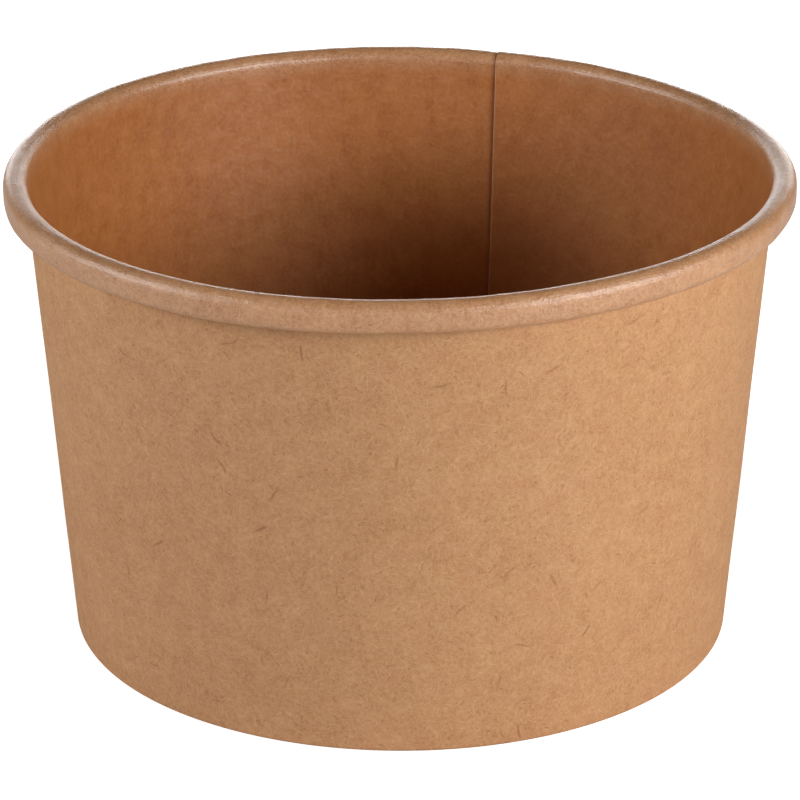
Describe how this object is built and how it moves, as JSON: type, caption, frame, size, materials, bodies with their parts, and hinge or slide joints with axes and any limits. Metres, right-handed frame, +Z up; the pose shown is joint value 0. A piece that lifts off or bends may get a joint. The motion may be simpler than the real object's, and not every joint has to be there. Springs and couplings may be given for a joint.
{
  "type": "paper ice cream tub",
  "caption": "Open round paper tub with a conical wall of brown board, a rolled rim, a lapped side seam and a recessed base.",
  "frame": {"origin": "centre of the foot ring, on the surface the tub stands on", "axes": "+Z up along the tub's axis and out of its mouth; +Y away from the picture's camera; the side seam's inner cut edge stands 73.7 degrees from +X towards +Y"},
  "size_m": [0.096, 0.096, 0.0591],
  "materials": {
    "kraft_board": "uncoated brown kraft board outside, coated satin inside and over the rim",
    "base_board": "coated satin above, uncoated below"
  },
  "bodies": {
    "root": {"sidewall": "kraft_board", "base_disc": "base_board"}
  },
  "joints": []
}
